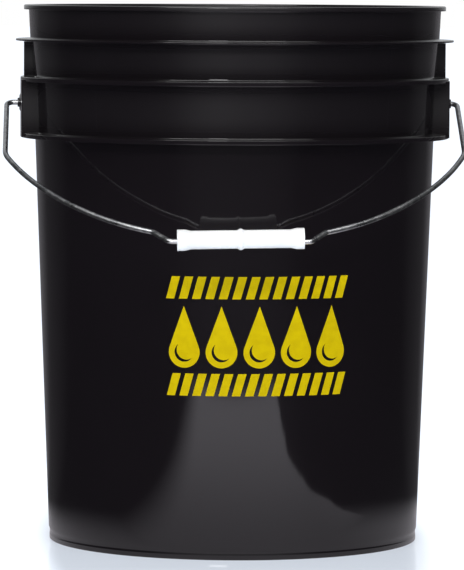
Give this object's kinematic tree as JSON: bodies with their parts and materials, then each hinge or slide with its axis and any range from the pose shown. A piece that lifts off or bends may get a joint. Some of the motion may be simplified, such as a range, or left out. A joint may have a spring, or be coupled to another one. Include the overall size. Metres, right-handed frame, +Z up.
{
  "type": "wash bucket",
  "caption": "Open tapered wash pail with a lid rim, stacking flanges, hollow bail ears, printed graphics, and a swinging wire bail that carries a loose tube grip.",
  "frame": {"origin": "centre of the base, on the surface that the bucket stands on", "axes": "+Z up along the pail's axis, the printed graphics and the resting bail towards -Y, the bail's pivot along X"},
  "size_m": [0.3151, 0.3373, 0.3695],
  "materials": {
    "black_pail_plastic": "polished injection-moulded polyethylene, black",
    "galvanised_wire": "bright zinc-plated drawn wire",
    "white_grip_plastic": "semi-gloss moulded, white",
    "yellow_ink": "cured screen-print ink, yellow"
  },
  "bodies": {
    "pail": {"bucket_body": "black_pail_plastic", "upper_stripe_print": "yellow_ink", "water_drop_print": "yellow_ink", "lower_stripe_print": "yellow_ink"},
    "bail": {"bail_wire": "galvanised_wire"},
    "grip": {"hand_grip": "white_grip_plastic"}
  },
  "joints": [
    {"name": "bail_swing", "type": "hinge", "parent": "pail", "child": "bail", "pos_m": [0, 0, 0.302], "axis": [-1, 0, 0], "range_deg": [-19, 249]},
    {"name": "grip_roll", "type": "hinge", "parent": "bail", "child": "grip", "pos_m": [-0.0017, -0.17907, 0.21814], "axis": [0.9998, 0, 0.0175], "continuous": true}
  ]
}
